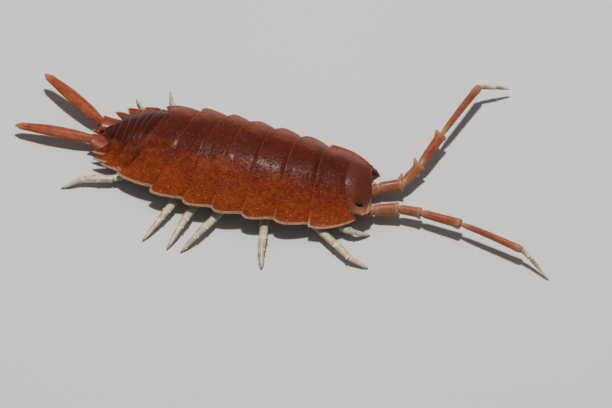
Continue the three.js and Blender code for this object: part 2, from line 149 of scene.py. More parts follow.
def rim_up(along):
    ahead = smooth(RIM_FRONT_START, RIM_FRONT_FULL, along)
    return RIM_UP - RIM_FALL * np.minimum(0, along) ** 2 - RIM_FRONT_DROP * ahead


def back_up(along, side, reach, flare=ARCH_FLARE):
    """One arch for all plates, which comes down to the rim at each plate's own edge."""
    shared = np.abs(side) / half_width(along)
    own = np.minimum(1, np.abs(side) / reach)
    out = np.minimum(1, shared + (own - shared) * own ** 4)
    arch = (crown_up(along) - rim_up(along)) * (1 - out ** ARCH_ROUND) ** flare
    return rim_up(along) + arch + RIM_LIFT * own ** 10


print("widest at", WIDEST_ALONG, "mm along the midline:", 2 * WIDEST_HALF, "mm")

# %% [markdown]
# ## The camera
#
# The camera comes early, so that every later step can be looked at. It stands where the photo
# was taken from: to the animal's right and a bit ahead, looking down at about 46 degrees from
# 23 cm away.

# %% Camera
CAMERA_AZIMUTH = math.radians(20.25)
CAMERA_ELEVATION = math.radians(46)
CAMERA_DISTANCE = 229.2 * MM
FOCAL_PIXELS = 3500
FRAME_WIDTH = 612
FRAME_HEIGHT = 408
START_PIXEL = (228.4, 178.3)
SENSOR_MM = 36

towards = Vector((
    math.sin(CAMERA_AZIMUTH) * math.cos(CAMERA_ELEVATION),
    -math.cos(CAMERA_AZIMUTH) * math.cos(CAMERA_ELEVATION),
    math.sin(CAMERA_ELEVATION),
))
camera = bpy.data.objects.new("camera", bpy.data.cameras.new("camera"))
bpy.context.scene.collection.objects.link(camera)
camera.data.sensor_width = SENSOR_MM
camera.data.lens = FOCAL_PIXELS * SENSOR_MM / FRAME_WIDTH
camera.data.clip_start = 0.01
camera.data.clip_end = 20
camera.location = Vector(START * MM) + towards * CAMERA_DISTANCE
right = Vector((math.cos(CAMERA_AZIMUTH), math.sin(CAMERA_AZIMUTH), 0))
upward = towards.cross(right)
aim = -towards
aim += right * (FRAME_WIDTH / 2 - START_PIXEL[0]) / FOCAL_PIXELS
aim -= upward * (FRAME_HEIGHT / 2 - START_PIXEL[1]) / FOCAL_PIXELS
level = (-towards).to_track_quat("-Z", "Y")
turn = (-towards).rotation_difference(aim)
camera.rotation_euler = (turn @ level).to_euler()
bpy.context.scene.view_settings.view_transform = "Standard"
bpy.context.scene.camera = camera
print("camera at", [round(v, 4) for v in camera.location])

# %% [markdown]
# ## Sums on sockets
#
# A procedural material is mostly arithmetic. Wiring Math nodes by hand hides the sum, so one
# small class wraps an output socket and lets Python's own signs add the nodes. One more method
# makes any other node: its settings go in first, and then its sockets' values or links.

# %% The socket class and the node helper


def tint(colour):
    """A colour given as on a screen, 0 to 255, in the linear light that shaders use."""
    return (*(((v / 255 + 0.055) / 1.055) ** 2.4 for v in colour), 1)


def add_node(tree, kind, settings=None, **inputs):
    """Adds a node. An input is named as on the node, with _ for a space, and n1 for input 1."""
    node = tree.nodes.new(kind)
    for key, value in (settings or {}).items():
        if key == "stops":
            ramp = node.color_ramp
            while len(ramp.elements) < len(value):
                ramp.elements.new(0.5)
            for element, (position, colour) in zip(ramp.elements, value):
                element.position = position
                element.color = tint(colour)
        else:
            setattr(node, key, value)
    for key, value in inputs.items():
        if key[0] == "n" and key[1:].isdigit():
            socket = node.inputs[int(key[1:])]
        else:
            name = key.replace("_", " ")
            socket = next(s for s in node.inputs if s.name == name and s.enabled)
        if isinstance(value, Sum):
            value = value.socket
        if isinstance(value, bpy.types.NodeSocket):
            tree.links.new(value, socket)
        else:
            socket.default_value = value
    return node


class Sum:
    """An output socket that works in Python sums."""

    def __init__(self, tree, socket):
        self.tree = tree
        self.socket = socket

    def maths(self, operation, *values):
        inputs = {f"n{i}": value for i, value in enumerate(values)}
        node = add_node(self.tree, "ShaderNodeMath", {"operation": operation}, **inputs)
        return Sum(self.tree, node.outputs[0])

    def __add__(self, other):
        return self.maths("ADD", self, other)

    __radd__ = __add__

    def __sub__(self, other):
        return self.maths("SUBTRACT", self, other)

    def __rsub__(self, other):
        return self.maths("SUBTRACT", other, self)

    def __mul__(self, other):
        return self.maths("MULTIPLY", self, other)

    __rmul__ = __mul__

    def high(self, low, high):
        """0 below low, 1 above high, smooth between."""
        node = add_node(
            self.tree, "ShaderNodeMapRange", {"interpolation_type": "SMOOTHSTEP"},
            Value=self, From_Min=low, From_Max=high, To_Min=0.0, To_Max=1.0,
        )
        return Sum(self.tree, node.outputs[0])

    def low(self, low, high):
        """1 below low, 0 above high, smooth between."""
        return 1 - self.high(low, high)


class Finish:
    """A material in the making: its tree, its shader and the patterns that finishes share."""

    def __init__(self, name, **constants):
        self.material = bpy.data.materials.new(name)
        self.material.use_nodes = True
        self.tree = self.material.node_tree
        self.shader = self.tree.nodes["Principled BSDF"]
        self.place = add_node(self.tree, "ShaderNodeTexCoord").outputs["Object"]
        for key, value in constants.items():
            self.shader.inputs[key.replace("_", " ")].default_value = value

    def mark(self, name):
        """A number that the mesh carries at each point."""
        node = add_node(self.tree, "ShaderNodeAttribute", {"attribute_name": name})
        return Sum(self.tree, node.outputs["Fac"])

    def cloud(self, size_mm, detail=3.0, rough=0.55):
        """Soft blotches, about as large as size_mm."""
        node = add_node(
            self.tree, "ShaderNodeTexNoise",
            Vector=self.place, Scale=1 / (size_mm * MM), Detail=detail, Roughness=rough,
        )
        return Sum(self.tree, node.outputs[0])

    def cells(self, size_mm):
        """How far each point is from the middle of its own small cell."""
        node = add_node(
            self.tree, "ShaderNodeTexVoronoi", {"feature": "F1"},
            Vector=self.place, Scale=1 / (size_mm * MM),
        )
        return Sum(self.tree, node.outputs["Distance"])

    def mix(self, share, first, second):
        """The first colour where share is 0, the second where it is 1."""
        given = bpy.types.NodeSocket
        first, second = (c if isinstance(c, given) else tint(c) for c in (first, second))
        node = add_node(
            self.tree, "ShaderNodeMix", {"data_type": "RGBA"}, n0=share, n6=first, n7=second,
        )
        return node.outputs[2]

    def ramp(self, value, *stops):
        node = add_node(self.tree, "ShaderNodeValToRGB", {"stops": stops}, Fac=value)
        return node.outputs[0]

    def done(self, colour, roughness, height=None, depth_mm=0.01, strength=1.0, **more):
        """Links what changes over the surface to the shader, and gives the material."""
        links = {"Base_Color": colour, "Roughness": roughness, **more}
        for key, value in links.items():
            value = value.socket if isinstance(value, Sum) else value
            self.tree.links.new(value, self.shader.inputs[key.replace("_", " ")])
        if height is not None:
            bump = add_node(
                self.tree, "ShaderNodeBump",
                Height=height, Distance=depth_mm * MM, Strength=strength,
            )
            self.tree.links.new(bump.outputs[0], self.shader.inputs["Normal"])
        return self.material


# %% [markdown]
# ## Shell finish
#
# The cuticle is a glossy, slightly see-through brown. It is darkest along the back, where the gut
# shows through, and turns orange on the flanks, with a thin pale rim. The plates carry numbers at
# each point: how far out on the flank it is, and how far it is in millimetres from the rim and
# from the plate's front and rear edges. So the colours follow the plates wherever they curve.

# %% Shell and tail-plate material
RED_GLOW = (1.0, 0.35, 0.12)


def shell_finish(name, crown, flank, edge, border=0.85, turns=(0.26, 0.55, 0.84), depth_mm=0.055):
    """Colours run from the crown to the edge, and turns says how far out each takes over."""
    f = Finish(
        name, IOR=1.42, Specular_IOR_Level=0.1, Coat_Roughness=0.16, Subsurface_Weight=0.1,
        Subsurface_Radius=RED_GLOW, Subsurface_Scale=0.2 * MM,
    )
    out = f.mark("flank")
    rim = f.mark("rim_mm")
    rear = f.mark("rear_mm")
    mottle = f.cloud(1.5, 4.0)
    fine = f.cloud(0.3, 4.0, 0.6)
    wander = out + 0.7 * (mottle - 0.5)
    first, second, third = turns
    colour = f.ramp(
        wander, (0.0, crown), (first, crown), (second, flank), (third, edge), (1.0, edge),
    )
    gut = wander.low(0.1, 0.4) * mottle.high(0.42, 0.62)
    colour = f.mix(0.4 * gut, colour, (56, 14, 12))
    patch = out.high(0.16, 0.36) * out.low(0.44, 0.66) * mottle.high(0.5, 0.66)
    colour = f.mix(0.35 * patch, colour, (150, 76, 26))
    light = 0.08 + 0.3 * out.high(0.15, 0.55)
    colour = f.mix(fine.high(0.5, 0.68) * light, colour, (170, 78, 20))
    colour = f.mix(fine.low(0.34, 0.5) * 0.35, colour, (72, 22, 8))
    seam = rear.low(0.15, 0.7) * rear.high(0.03, 0.15) * mottle.low(0.35, 0.65)
    colour = f.mix(seam * 0.3, colour, crown)
    line = rear.low(0.02, 0.08) + f.mark("front_mm").low(0.02, 0.07) * f.mark("first")
    colour = f.mix(line * 0.4, colour, (150, 88, 62))
    pale = rim.low(0.04, 0.13) + rear.low(0.03, 0.12) * out.high(0.74, 0.95)
    colour = f.mix(pale * border, colour, (200, 162, 128))
    grain = f.cells(0.17).low(0.0, 0.5)
    height = grain * (0.5 + 0.5 * out.high(0.1, 0.5)) + fine * 0.6
    roughness = 0.22 + 0.14 * fine + 0.1 * mottle
    return f.done(colour, roughness, height, depth_mm, 0.85, Coat_Weight=0.06 * fine)


SHELL = shell_finish("shell", (86, 29, 14), (128, 47, 12), (150, 62, 14))
TAIL_SHELL = shell_finish(
    "tail_shell", (66, 21, 15), (98, 34, 12), (138, 57, 17), 0.7, (0.44, 0.66, 0.86),
    0.014,
)
TELSON = shell_finish(
    "telson", (64, 20, 17), (78, 26, 18), (96, 36, 20), 0.2, depth_mm=0.01,
)
print("shell finishes:", SHELL.name, TAIL_SHELL.name, TELSON.name)

# %% [markdown]
# ## Head and grain finishes
#
# The head is a dull maroon that turns pale below the eyes and on the face, so its mesh says at
# each point how high it is, how near the brow and how far down the face. The grains on the shell
# are painted lighter than what they sit on, most of all on the flanks, as a painted sparkle of the
# lamp. They are also much glossier, so that some catch the lamp itself.

# %% Head and grain materials


def head_finish():
    f = Finish(
        "head", IOR=1.5, Specular_IOR_Level=0.22, Coat_Roughness=0.16, Subsurface_Weight=0.12,
        Subsurface_Radius=RED_GLOW, Subsurface_Scale=0.2 * MM,
    )
    out = f.mark("flank")
    mottle = f.cloud(0.7, 4.0)
    fine = f.cloud(0.16, 3.0, 0.65)
    colour = f.ramp(
        out + 0.35 * (mottle - 0.5), (0.0, (92, 34, 20)), (0.5, (98, 36, 20)),
        (0.78, (118, 50, 26)), (1.0, (154, 90, 56)),
    )
    colour = f.mix(fine.high(0.52, 0.75) * 0.3, colour, (146, 68, 36))
    colour = f.mix(f.mark("brow").low(0.004, 0.03) * 0.4, colour, (150, 70, 34))
    colour = f.mix(f.mark("face").high(0.08, 0.4) * 0.85, colour, (180, 136, 100))
    below = f.mark("height").low(1.4, 1.8) * out.high(0.3, 0.7)
    colour = f.mix(below * 0.85, colour, (176, 126, 92))
    pits = f.cells(0.15).low(0.0, 0.5)
    return f.done(colour, 0.38 + 0.2 * fine, pits + fine * 0.5, 0.03, 0.7, Coat_Weight=0.06 * fine)


def grain_finish():
    f = Finish("grain", IOR=1.5, Coat_Roughness=0.12, Coat_Weight=0.9)
    out = f.mark("flank")
    tone = f.cloud(0.8, 3.0)
    # Painted sparkle: the grains are coloured lighter than the shell under them, most of all on the
    # flanks, standing in for glints of the lamp and lifting their own shade.
    colour = f.ramp(
        out + 0.3 * (tone - 0.5), (0.0, (92, 33, 18)), (0.35, (124, 48, 20)),
        (0.7, (172, 78, 28)), (1.0, (202, 118, 58)),
    )
    return f.done(colour, 0.16 + 0.1 * tone)


HEAD = head_finish()
GRAIN = grain_finish()
print("head finishes:", HEAD.name, GRAIN.name)

# %% [markdown]
# ## Finishes of the limbs and the soft parts
#
# Feelers are orange-brown with paler joints, so their pieces carry a number that runs from 0 at
# the root of each piece to 1 at its end. Legs are pale cream with faint darker streaks. The belly
# is soft and milky, and the eyes are nearly black, with a dull gloss.

# %% Feeler, leg, belly and eye materials


def feeler_finish(name, body, dark, joint, joint_root, joint_tip):
    f = Finish(
        name, IOR=1.5, Specular_IOR_Level=0.3, Coat_Roughness=0.2, Subsurface_Weight=0.25,
        Subsurface_Radius=(1.0, 0.4, 0.15), Subsurface_Scale=0.2 * MM,
    )
    run = f.mark("run")
    streak = f.cloud(0.5, 4.0)
    fine = f.cloud(0.12, 3.0, 0.6)
    colour = f.mix(streak.high(0.4, 0.68) * 0.7, body, dark)
    colour = f.mix(fine.high(0.5, 0.75) * 0.35, colour, joint)
    pale = run.low(*joint_root) + run.high(*joint_tip)
    colour = f.mix(pale.maths("MINIMUM", pale, 1.0) * 0.8, colour, joint)
    height = fine + 0.5 * streak
    return f.done(colour, 0.36 + 0.2 * fine, height, 0.012, 0.7, Coat_Weight=0.15 - 0.1 * fine)


FEELER = feeler_finish(
    "feeler", (164, 82, 42), (128, 46, 24), (178, 128, 94), (0.02, 0.26), (0.8, 0.97),
)
FEELER_ROOT = feeler_finish(
    "feeler_root", (164, 98, 58), (136, 62, 32), (178, 134, 100), (0.02, 0.3), (0.78, 0.97),
)
FEELER_TIP = feeler_finish(
    "feeler_tip", (178, 150, 126), (156, 118, 90), (208, 200, 188), (0.0, 0.1), (0.2, 0.9),
)
TAIL_FEELER = feeler_finish(
    "tail_feeler", (166, 76, 24), (132, 46, 14), (200, 142, 96), (0.0, 0.03), (0.8, 1.0),
)
TAIL_ROOT = feeler_finish(
    "tail_root", (144, 60, 22), (104, 38, 16), (172, 108, 70), (0.0, 0.03), (0.93, 1.0),
)
LEG = feeler_finish(
    "leg", (192, 180, 162), (170, 152, 130), (206, 196, 180), (0.02, 0.14), (0.86, 0.98),
)


def plain_finish(name, first, second, size_mm, roughness, height_mm, **constants):
    f = Finish(name, **constants)
    patches = f.cloud(size_mm, 4.0)
    fine = f.cloud(size_mm / 6, 3.0)
    colour = f.mix(patches.high(0.35, 0.65), first, second)
    return f.done(colour, roughness + 0.15 * fine, fine, height_mm, 0.6)


BELLY = plain_finish(
    "belly", (202, 180, 146), (176, 146, 108), 0.9, 0.42, 0.012,
    Subsurface_Weight=0.3, Subsurface_Radius=(1.0, 0.6, 0.4), Subsurface_Scale=0.3 * MM,
)
MEMBRANE = plain_finish(
    "membrane", (190, 138, 104), (166, 106, 76), 0.3, 0.38, 0.006,
    Subsurface_Weight=0.3, Subsurface_Radius=(1.0, 0.6, 0.4), Subsurface_Scale=0.2 * MM,
)
LUNG = plain_finish("lung_patch", (236, 232, 222), (214, 206, 188), 0.25, 0.4, 0.006)
EYE = plain_finish("eye", (12, 10, 22), (26, 20, 34), 0.15, 0.42, 0.002, Specular_IOR_Level=0.3)
CLAW = plain_finish("claw", (156, 116, 84), (116, 76, 52), 0.1, 0.3, 0.004)
BRISTLE = plain_finish("bristle", (196, 164, 124), (150, 104, 66), 0.2, 0.4, 0.002)
print("materials:", len(bpy.data.materials))

# %% [markdown]
# ## From numbers to meshes
#
# All pieces below are grids: rows of points worked out by a rule, joined into quads. A grid can
# be open, or closed round like a tube. One helper turns the points into an object, writes the
# marks that the finishes read, and sharpens only true corners, so that the curves stay smooth.

# %% Mesh helpers
SHARP_ANGLE = math.radians(50)
pieces = {}


def grid_faces(rows, columns, round_way=False):
    """Quads over a grid of rows and columns of points."""
    wide = columns if round_way else columns - 1
    i, j = np.meshgrid(np.arange(rows - 1), np.arange(wide), indexing="ij")
    k = (j + 1) % columns
    near, far = i * columns, (i + 1) * columns
    return np.stack([near + j, near + k, far + k, far + j], -1).reshape(-1, 4)


def make_piece(name, points, faces, marks, material, replaced=()):
    """Makes an object of points and quads (a quad may name a point twice), and rides it."""
    mesh = bpy.data.meshes.new(name)
    loops = [list(dict.fromkeys(face)) for face in faces.tolist()]
    points = np.asarray(points).reshape(-1, 3).tolist()
    mesh.from_pydata(points, [], [face for face in loops if len(face) > 2])
    for key, values in marks.items():
        values = np.asarray(values, np.float32)
        kind = "FLOAT_VECTOR" if values.ndim == 2 else "FLOAT"
        attribute = mesh.attributes.new(key, kind, "POINT")
        attribute.data.foreach_set("vector" if values.ndim == 2 else "value", values.ravel())
    shape = bmesh.new()
    shape.from_mesh(mesh)
    bmesh.ops.remove_doubles(shape, verts=shape.verts, dist=1e-8)
    bmesh.ops.dissolve_degenerate(shape, edges=shape.edges, dist=1e-9)
    bmesh.ops.recalc_face_normals(shape, faces=shape.faces)
    shape.to_mesh(mesh)
    shape.free()
    mesh.materials.append(material)
    mesh.shade_smooth()
    mesh.set_sharp_from_angle(angle=SHARP_ANGLE)
    piece = bpy.data.objects.new(name, mesh)
    bpy.context.scene.collection.objects.link(piece)
    keep(piece, replaced)
    return piece


def keep(piece, replaced=()):
    """Makes the piece move with the root, hides the frame's parts that it replaces and keeps it among
    the pieces.
    """
    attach(piece, "root")
    if replaced:
        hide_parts(*replaced)
    pieces[piece.name] = piece


class Batch:
    """Collects several grids into one mesh."""

    def __init__(self):
        self.points = []
        self.faces = []
        self.marks = {}
        self.count = 0

    def add(self, points, faces, **marks):
        points = np.asarray(points).reshape(-1, 3)
        for key, values in marks.items():
            values = np.asarray(values, float)
            wide = (len(points), 3) if values.shape[-1:] == (3,) else (len(points),)
            self.marks.setdefault(key, []).append(np.broadcast_to(values, wide))
        self.points.append(points)
        self.faces.append(np.asarray(faces) + self.count)
        self.count += len(points)

    def piece(self, name, material, replaced=(), slot=None):
        marks = {key: np.concatenate(values) for key, values in self.marks.items()}
        points, faces = np.concatenate(self.points), np.concatenate(self.faces)
        return make_piece(name, points, faces, marks, material, replaced)


print("corners sharper than", round(math.degrees(SHARP_ANGLE)), "degrees stay sharp")

# %% [markdown]
# ## Shell plates
#
# Thirteen plates cover the back: seven on the trunk, five short ones on the tail, and the pointed
# tail shield. Each is a thin curved tile with a raised rear lip, and its front part slips under
# the plate ahead. A plate could be cut from a dome, but its edges would then be jagged, so each
# one is laid out on its own grid, dense near the rims, with fine grains raised on its skin.

# %% Plate builder
OVERLAP = 0.32
TAIL_OVERLAP = 0.2
LIP = 0.03
SUNK = 0.09
FIRST_SUNK = 0.02
THICK = 0.13
GRAIN_MM = 0.15
GRAIN_HIGH = 0.014
TAIL_GRAIN_HIGH = 0.004
WAVE_HIGH = 0.018
REAR_BEVEL = 0.04
RIM_BEVEL = 0.05


def dense_ends(count, pull):
    """Numbers from -1 to 1 that crowd towards both ends."""
    t = np.linspace(-1, 1, count)
    return t * (1 + pull - pull * t * t)


def grains(along, side, size):
    """Heights from 0 to 1 of round grains packed at the given size."""
    flat = np.stack([along, side], -1).reshape(-1, 2) / size
    near = [noise.voronoi(Vector((a, b, 0)))[0][0] for a, b in flat.tolist()]
    return np.clip(1 - (np.array(near) / 0.5) ** 2, 0, 1).reshape(along.shape)


def plate(
    name, front, rear, reach, rows, columns, material, slot,
    tucked=OVERLAP, grain=GRAIN_HIGH, sunk=SUNK, flare=ARCH_FLARE,
):
    """A plate between two edges. front and rear give a place along for each side distance."""
    u = (dense_ends(rows, 0.35)[:, None] + 1) / 2
    v = dense_ends(columns, 0.42)[None, :]
    side = v * reach(u)
    ahead = front(side) + tucked
    along = ahead + (rear(side) - ahead) * u
    behind = along - rear(side)
    rim = (reach(u) - np.abs(side)) + 0 * along
    hidden = smooth(front(side) - 0.3, front(side) + 0.05, along)
    lift = LIP * smooth(0.5, 0.1, behind) - sunk * hidden
    lift = lift - REAR_BEVEL * smooth(0.05, 0.0, behind) - RIM_BEVEL * smooth(0.07, 0.0, rim)
    out = np.abs(side) / half_width(along)
    rough = grain * smooth(0.04, 0.16, rim) * (0.35 + 0.65 * out)
    wave = np.array([noise.noise(Vector((a, b, 3.0))) for a, b in zip(along.flat, side.flat)])
    lift = lift + rough * grains(along, side, GRAIN_MM) + WAVE_HIGH * wave.reshape(along.shape)
    thick = THICK * (0.35 + 0.65 * smooth(0.0, 0.25, rim)) * (0.4 + 0.6 * smooth(0.0, 0.2, behind))
    up = back_up(along, side, reach(u), flare) + lift
    top = place(along, side, up)
    low = place(along, side, up - thick)
    faces = grid_faces(rows, columns)
    size = rows * columns
    edge = np.concatenate([
        np.arange(columns), np.arange(1, rows) * columns + columns - 1,
        (rows - 1) * columns + np.arange(columns - 2, -1, -1), np.arange(rows - 2, 0, -1) * columns,
    ])
    after = np.roll(edge, -1)
    wall = np.stack([edge, edge + size, after + size, after], -1)
    points = np.concatenate([top.reshape(-1, 3), low.reshape(-1, 3)])
    faces = np.concatenate([faces, faces[:, ::-1] + size, wall[:, ::-1]])
    marks = {"flank": out, "rim_mm": rim, "rear_mm": behind, "front_mm": front(side) - along}
    marks = {key: np.tile(values.ravel(), 2) for key, values in marks.items()}
    marks["first"] = np.full(2 * size, float(tucked == 0))
    open_skin = smooth(0.08, 0.3, rim) * (1 - hidden)
    marks["grain"] = np.concatenate([open_skin.ravel(), np.zeros(size)])
    return make_piece(name + "_shell", points, faces, marks, material, [name])


# %% Trunk plates
# Each plate: its rear edge on the midline, its rear corner, and how much its flank flares
TRUNK = [
    (6.15, 6.2, 1.5), (4.15, 4.0, 1.3), (2.25, 2.05, 1.2), (0.4, 0.2, 1.15),
    (-1.2, -1.75, 1.15), (-3.0, -4.1, 1.15), (-5.0, -6.6, 1.15),
]
RIM_START = 0.6
RIM_INSET = 0.14
CORNER_START = 0.64
CORNER_ROUND = 0.5
SWEEP_POWER = 5
NECK_ALONG = 8
NECK_LOBE = 1.15
NECK_REACH = 2.2


def neck_edge(side):
    """Front edge of the first plate, which holds the head between two lobes."""
    return NECK_ALONG + NECK_LOBE * np.minimum(1, np.abs(side) / NECK_REACH) ** 4


def neck_reach(u):
    """How far the first plate reaches to the side."""
    return 2.38 + 1.42 * np.sin(1.7 * u) ** 0.75


def rear_edge(middle, corner, reach, power):
    """A plate's rear edge, straight over the back and swept at the corners."""
    return lambda side: middle + (corner - middle) * np.minimum(1, np.abs(side) / reach) ** power


def trunk_reach(start, end):
    """How far a plate reaches to the side, from u = 0 at its front to u = 1 at its corner."""
    def reach(u):
        outline = half_width(start + (end - start) * u) * (1 - RIM_INSET * (1 - u) ** 2)
        corner = np.clip((u - CORNER_START) / (1 - CORNER_START), 0, 1)
        return outline - CORNER_ROUND * (1 - np.sqrt(1 - corner ** 2))
    return reach


edge = neck_edge
spread = neck_reach
for number, (middle, corner, flare) in enumerate(TRUNK, 1):
    rear = rear_edge(middle, corner, float(half_width(corner)), SWEEP_POWER)
    tucked, sunk = (OVERLAP, SUNK) if number > 1 else (0.0, FIRST_SUNK)
    plate(
        f"pereonite_{number}", edge, rear, spread, 64, 200, SHELL, "shell",
        tucked, GRAIN_HIGH, sunk, flare,
    )
    edge = rear
    if number < len(TRUNK):
        spread = trunk_reach(middle + RIM_START * (corner - middle), TRUNK[number][1])
trunk_rear = edge
print("trunk plates:", len(pieces))

# %% Tail plates
# Each plate: rear edge on the midline, rear corner, reach to the side, turn of the rear edge
TAIL = [
    (-5.75, -5.9, 2.75, 0.1), (-6.15, -6.4, 2.95, 0.16), (-6.6, -7.5, 2.95, 0.24),
    (-7.15, -8.4, 2.55, 0.3), (-7.7, -8.85, 1.97, 0.3),
]
TAIL_SWEEP_POWER = 3.5
TAIL_RIM_TAPER = 0.08
TELSON_TIP = -8.75
TAIL_SETTINGS = (TAIL_OVERLAP, TAIL_GRAIN_HIGH, SUNK, TAIL_FLARE)


def tail_edge(middle, corner, full, skew):
    straight = rear_edge(middle, corner, full, TAIL_SWEEP_POWER)
    return lambda side: straight(side) - skew * side * (1 - np.minimum(1, np.abs(side) / full) ** 4)


def tail_reach(full):
    return lambda u: full * (1 + TAIL_RIM_TAPER * (1 - u ** 3))


def behind_both(rear):
    """The next plate starts where this one and the last trunk plate both end."""
    return lambda side: np.minimum(rear(side), trunk_rear(side))


def telson_tip(side):
    return TELSON_TIP + 0 * side


def telson_reach(u):
    return 0.05 + 1.25 * (1 - u) ** 0.75


for number, (middle, corner, full, skew) in enumerate(TAIL, 1):
    rear = tail_edge(middle, corner, full, skew)
    plate(
        f"pleonite_{number}", edge, rear, tail_reach(full), 34, 150, TAIL_SHELL, "tail_shell",
        *TAIL_SETTINGS,
    )
    edge = behind_both(rear)
plate("telson", edge, telson_tip, telson_reach, 40, 60, TELSON, "tail_shell", *TAIL_SETTINGS)
print("all plates:", len(pieces))

# %% [markdown]
# ## Head
#
# The head is one hard capsule. Its top is sunk into the notch of the first plate, a thin ridge
# runs along the front, and below that ridge the face drops to the mouth. It could be sculpted
# from a ball, but here it is lofted from outlines seen from the side, one for each place across,
# because that keeps the ridge, the two lobes and the feeler sockets in exact places.

# %% Outlines of the head
HEAD_HALF = 1.95
HEAD_EDGE = 2.1
HEAD_FRONT = 9.62
HEAD_TURN = 0.27
HEAD_CORNER_BACK = 0.15
NEAR_CORNER_BACK = 0.3
HEAD_LOW = 0.95
HEAD_LOW_RISE = 0.42
HEAD_TALL = 2.01
HEAD_FALL_LENGTH = 1.75
LOBE_OUT = {"left": 0.62, "right": 0.05}
LOBE_SIDE = 1.5
LOBE_WIDE = 0.2


def hump(value, middle, width):
    """1 at the middle, falling off smoothly either way."""
    return np.exp(-(((value - middle) / width) ** 2))


def head_front(side):
    """The brow: it is turned a little to the left, and has a lobe beside each feeler."""
    reach = np.abs(side)
    lobe = np.where(side > 0, LOBE_OUT["left"], LOBE_OUT["right"]) * hump(reach, LOBE_SIDE, LOBE_WIDE)
    corner = HEAD_CORNER_BACK * (reach / HEAD_HALF) ** 4
    corner = corner + NEAR_CORNER_BACK * smooth(1.7, 2.1, reach) * (side < 0)
    return HEAD_FRONT - HEAD_TURN * side - corner + lobe


def head_low(side):
    return HEAD_LOW + HEAD_LOW_RISE * (np.abs(side) / HEAD_EDGE) ** 3


def head_top(along, side):
    fall = np.clip((along - NECK_ALONG) / HEAD_FALL_LENGTH, 0, 1)
    rounding = np.clip(1 - (np.abs(side) / HEAD_EDGE) ** 2.6, 0, 1) ** 0.6
    crest = HEAD_LOW + HEAD_TALL * np.sqrt(1 - 0.9 * fall ** 2.2)
    return head_low(side) + (crest - head_low(side)) * rounding


print("the brow lies between", np.round(head_front(np.array([HEAD_EDGE, -HEAD_EDGE])), 2), "mm")

# %% Head capsule
# One turn round an outline: over the top to the brow, down the face, and back underneath
ROWS, COLUMNS = 130, 130
turn = np.linspace(0, 1, ROWS, endpoint=False)[:, None]
side = HEAD_EDGE * dense_ends(COLUMNS, 0.3)[None, :]
over = np.clip(turn / 0.5, 0, 1)
down = np.clip((turn - 0.5) / 0.28, 0, 1)
back = np.clip((turn - 0.78) / 0.22, 0, 1)
rear = neck_edge(side) - 0.25
front = np.maximum(head_front(side), rear + 0.1)
along = rear + (front - rear) * over
up = head_top(along, side) - 0.1 * smooth(0.04, -0.12, along - neck_edge(side))
up = up + 0.05 * hump(along, front - 0.03, 0.07) * (down == 0)
seam = hump(np.abs(side), 0.45 + 0.5 * (along - 8.2), 0.05) * smooth(8.2, 8.5, along)
grain = grains(along, side + 0 * along, 0.13)
up = up - 0.02 * seam + 0.014 * grain * (down == 0)
up = up + (head_low(side) - up) * down ** 0.9
chin = 0.14 * hump(side, 0, 0.5) * hump(down, 0.62, 0.2) * (back == 0)
socket = 0.16 * hump(np.abs(side), 0.97, 0.26) * hump(down, 0.6, 0.2) * (back == 0)
hollow = 0.5 * down ** 1.1 + 0.07 * np.sin(np.pi * np.minimum(1, down * 2.5))
along = along - hollow * np.minimum(1, (front - rear) / 0.8) + chin - socket
along = along + (rear - along) * back
near_eye = sum(hump(along, a, 0.3) * hump(side, s, 0.26) for a, s, _ in EYE_SPOT.values())
near_eye = near_eye * smooth(1.3, 1.6, up)
up = up - 0.13 * near_eye
side = side * (1 - 0.05 * near_eye) * (1 - 0.14 * down)
grainy = smooth(0.03, 0.1, over) * (down == 0)
marks = {
    "flank": np.abs(side) / HEAD_EDGE, "face": down, "brow": np.abs(turn - 0.5),
    "grain": grainy, "height": up,
}
marks = {key: np.broadcast_to(values, up.shape).T.ravel() for key, values in marks.items()}
make_piece(
    "head_capsule", np.swapaxes(place(along, side, up), 0, 1),
    grid_faces(COLUMNS, ROWS, round_way=True), marks, HEAD, ["head"],
)
print("head rows and columns:", ROWS, COLUMNS)

# %% [markdown]
# ## Eyes
#
# Each eye is a small oval mound of many tiny lenses. A smooth ball would catch one big
# highlight, but the real eye breaks it up, so small domes are scattered over an oval base. That
# scattering, like that of the grains and bristles, is done by a small Geometry Nodes tree.

# %% The scatter tree


